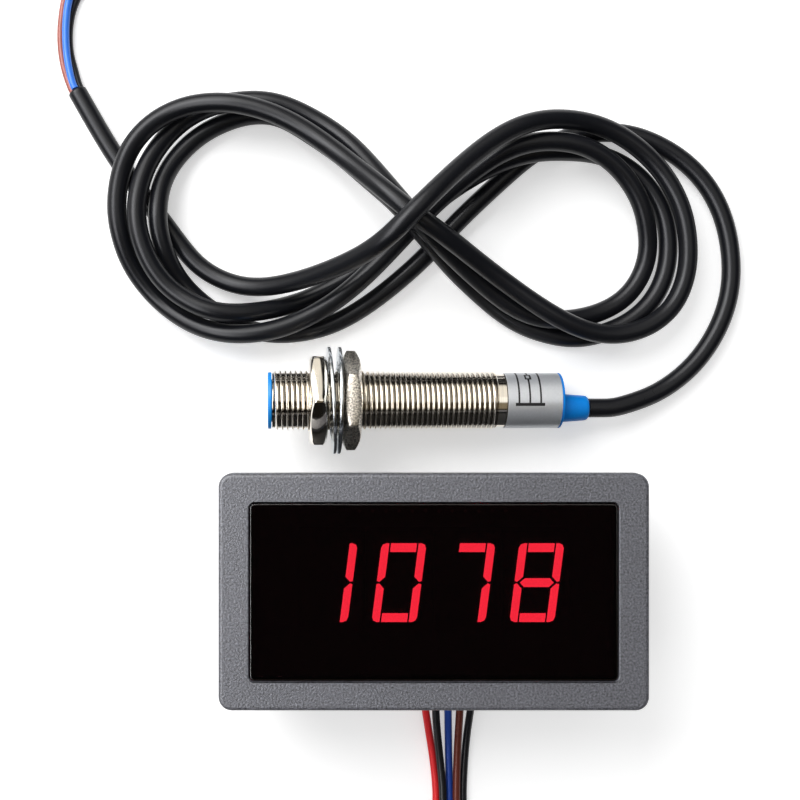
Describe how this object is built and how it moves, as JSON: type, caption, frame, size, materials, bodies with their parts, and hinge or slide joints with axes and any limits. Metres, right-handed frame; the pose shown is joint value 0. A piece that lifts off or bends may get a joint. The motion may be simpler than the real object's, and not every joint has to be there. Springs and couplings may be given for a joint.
{
  "type": "digital tachometer",
  "caption": "Panel-mount digital tachometer with a lit segment display and plug-in wires, beside a threaded tubular proximity sensor with nuts, lock washers and a coiled cable.",
  "frame": {"origin": "centre of the meter's flat rear cover, which lies on the table", "axes": "+Z out of the display, +X to the right across it, +Y up it, towards the sensor that lies beside it"},
  "size_m": [0.1384, 0.2137, 0.0255],
  "materials": {
    "bezel_plastic": "fine-textured grey moulding",
    "case_plastic": "fine-textured near-black moulding",
    "filter": "polished dark red-tinted filter",
    "circuit_board": "green solder mask over laminate",
    "chip_plastic": "moulded black epoxy",
    "capacitor_can": "aluminium can in a dark sleeve",
    "crystal_can": "drawn metal can",
    "plug_plastic": "natural cream nylon",
    "digit_body": "dark grey moulding with an epoxy-filled back",
    "lit_segments": "red diffusing film",
    "plated_metal": "bright nickel plate",
    "label_foil": "satin silver film",
    "blue_plastic": "smooth blue moulding",
    "lamp_lens": "clear red epoxy",
    "cable_jacket": "satin black jacket",
    "red_insulation": "smooth insulation",
    "black_insulation": "smooth insulation",
    "blue_insulation": "smooth insulation",
    "brown_insulation": "smooth insulation"
  },
  "bodies": {
    "meter_and_sensor": {"front_bezel": "bezel_plastic", "filter_lens": "filter", "rear_case": "case_plastic", "rear_cover": "case_plastic", "display_board": "circuit_board", "main_board": "circuit_board", "board_header": "chip_plastic", "digit_module_1": "digit_body", "digit_module_2": "digit_body", "digit_module_3": "digit_body", "digit_module_4": "digit_body", "digit_segments_1": "lit_segments", "digit_segments_2": "lit_segments", "digit_segments_3": "lit_segments", "digit_segments_4": "lit_segments", "microcontroller": "chip_plastic", "driver_chip": "chip_plastic", "regulator": "chip_plastic", "crystal": "crystal_can", "capacitor": "capacitor_can", "wire_socket": "plug_plastic", "threaded_barrel": "plated_metal", "sensing_cap": "blue_plastic", "rear_cap": "blue_plastic", "label_sleeve": "label_foil", "indicator_lamp": "lamp_lens", "sensor_board": "circuit_board", "sensing_element": "chip_plastic", "sensor_cable": "cable_jacket", "lead_brown": "brown_insulation", "lead_blue": "blue_insulation", "lead_black": "black_insulation"},
    "left_clip": {"panel_clip_left": "case_plastic"},
    "right_clip": {"panel_clip_right": "case_plastic"},
    "wire_set": {"wire_plug": "plug_plastic", "wire_red": "red_insulation", "wire_black": "black_insulation", "wire_blue": "blue_insulation", "wire_brown": "brown_insulation", "wire_dark": "black_insulation", "wire_red_coil": "red_insulation", "wire_black_coil": "black_insulation", "wire_blue_coil": "blue_insulation", "wire_brown_coil": "brown_insulation", "wire_dark_coil": "black_insulation"},
    "front_washer_slide": {"front_washer": "plated_metal"},
    "front_nut_turn": {"front_nut": "plated_metal"},
    "rear_washer_slide": {"rear_washer": "plated_metal"},
    "rear_nut_turn": {"rear_nut": "plated_metal"}
  },
  "joints": [
    {"name": "left_clip_bend", "type": "hinge", "parent": "meter_and_sensor", "child": "left_clip", "pos_m": [-0.037, 0, 0.0049], "axis": [0, 1, 0], "range_deg": [0, 6], "stiffness_Nm_per_rad": 0.3},
    {"name": "right_clip_bend", "type": "hinge", "parent": "meter_and_sensor", "child": "right_clip", "pos_m": [0.037, 0, 0.0049], "axis": [0, -1, 0], "range_deg": [0, 6], "stiffness_Nm_per_rad": 0.3},
    {"name": "plug_pull", "type": "slide", "parent": "meter_and_sensor", "child": "wire_set", "axis": [0, -1, 0], "range_m": [0, 0.007]},
    {"name": "front_washer_travel", "type": "slide", "parent": "meter_and_sensor", "child": "front_washer_slide", "axis": [-0.9936, 0, 0.1132], "range_m": [0, 0.007]},
    {"name": "front_nut_turning", "type": "hinge", "parent": "front_washer_slide", "child": "front_nut_turn", "pos_m": [-0.02226, 0.0351, 0.01099], "axis": [-0.9936, 0, 0.1132], "range_deg": [0, 2520]},
    {"name": "rear_washer_travel", "type": "slide", "parent": "meter_and_sensor", "child": "rear_washer_slide", "axis": [0.9936, 0, -0.1132], "range_m": [0, 0.026]},
    {"name": "rear_nut_turning", "type": "hinge", "parent": "rear_washer_slide", "child": "rear_nut_turn", "pos_m": [-0.01585, 0.0351, 0.01026], "axis": [0.9936, 0, -0.1132], "range_deg": [0, 9360]}
  ],
  "couplings": [
    {"joint": "front_washer_travel", "follows": "front_nut_turning", "m_per_rad": 0.00015915},
    {"joint": "rear_washer_travel", "follows": "rear_nut_turning", "m_per_rad": 0.00015915}
  ]
}
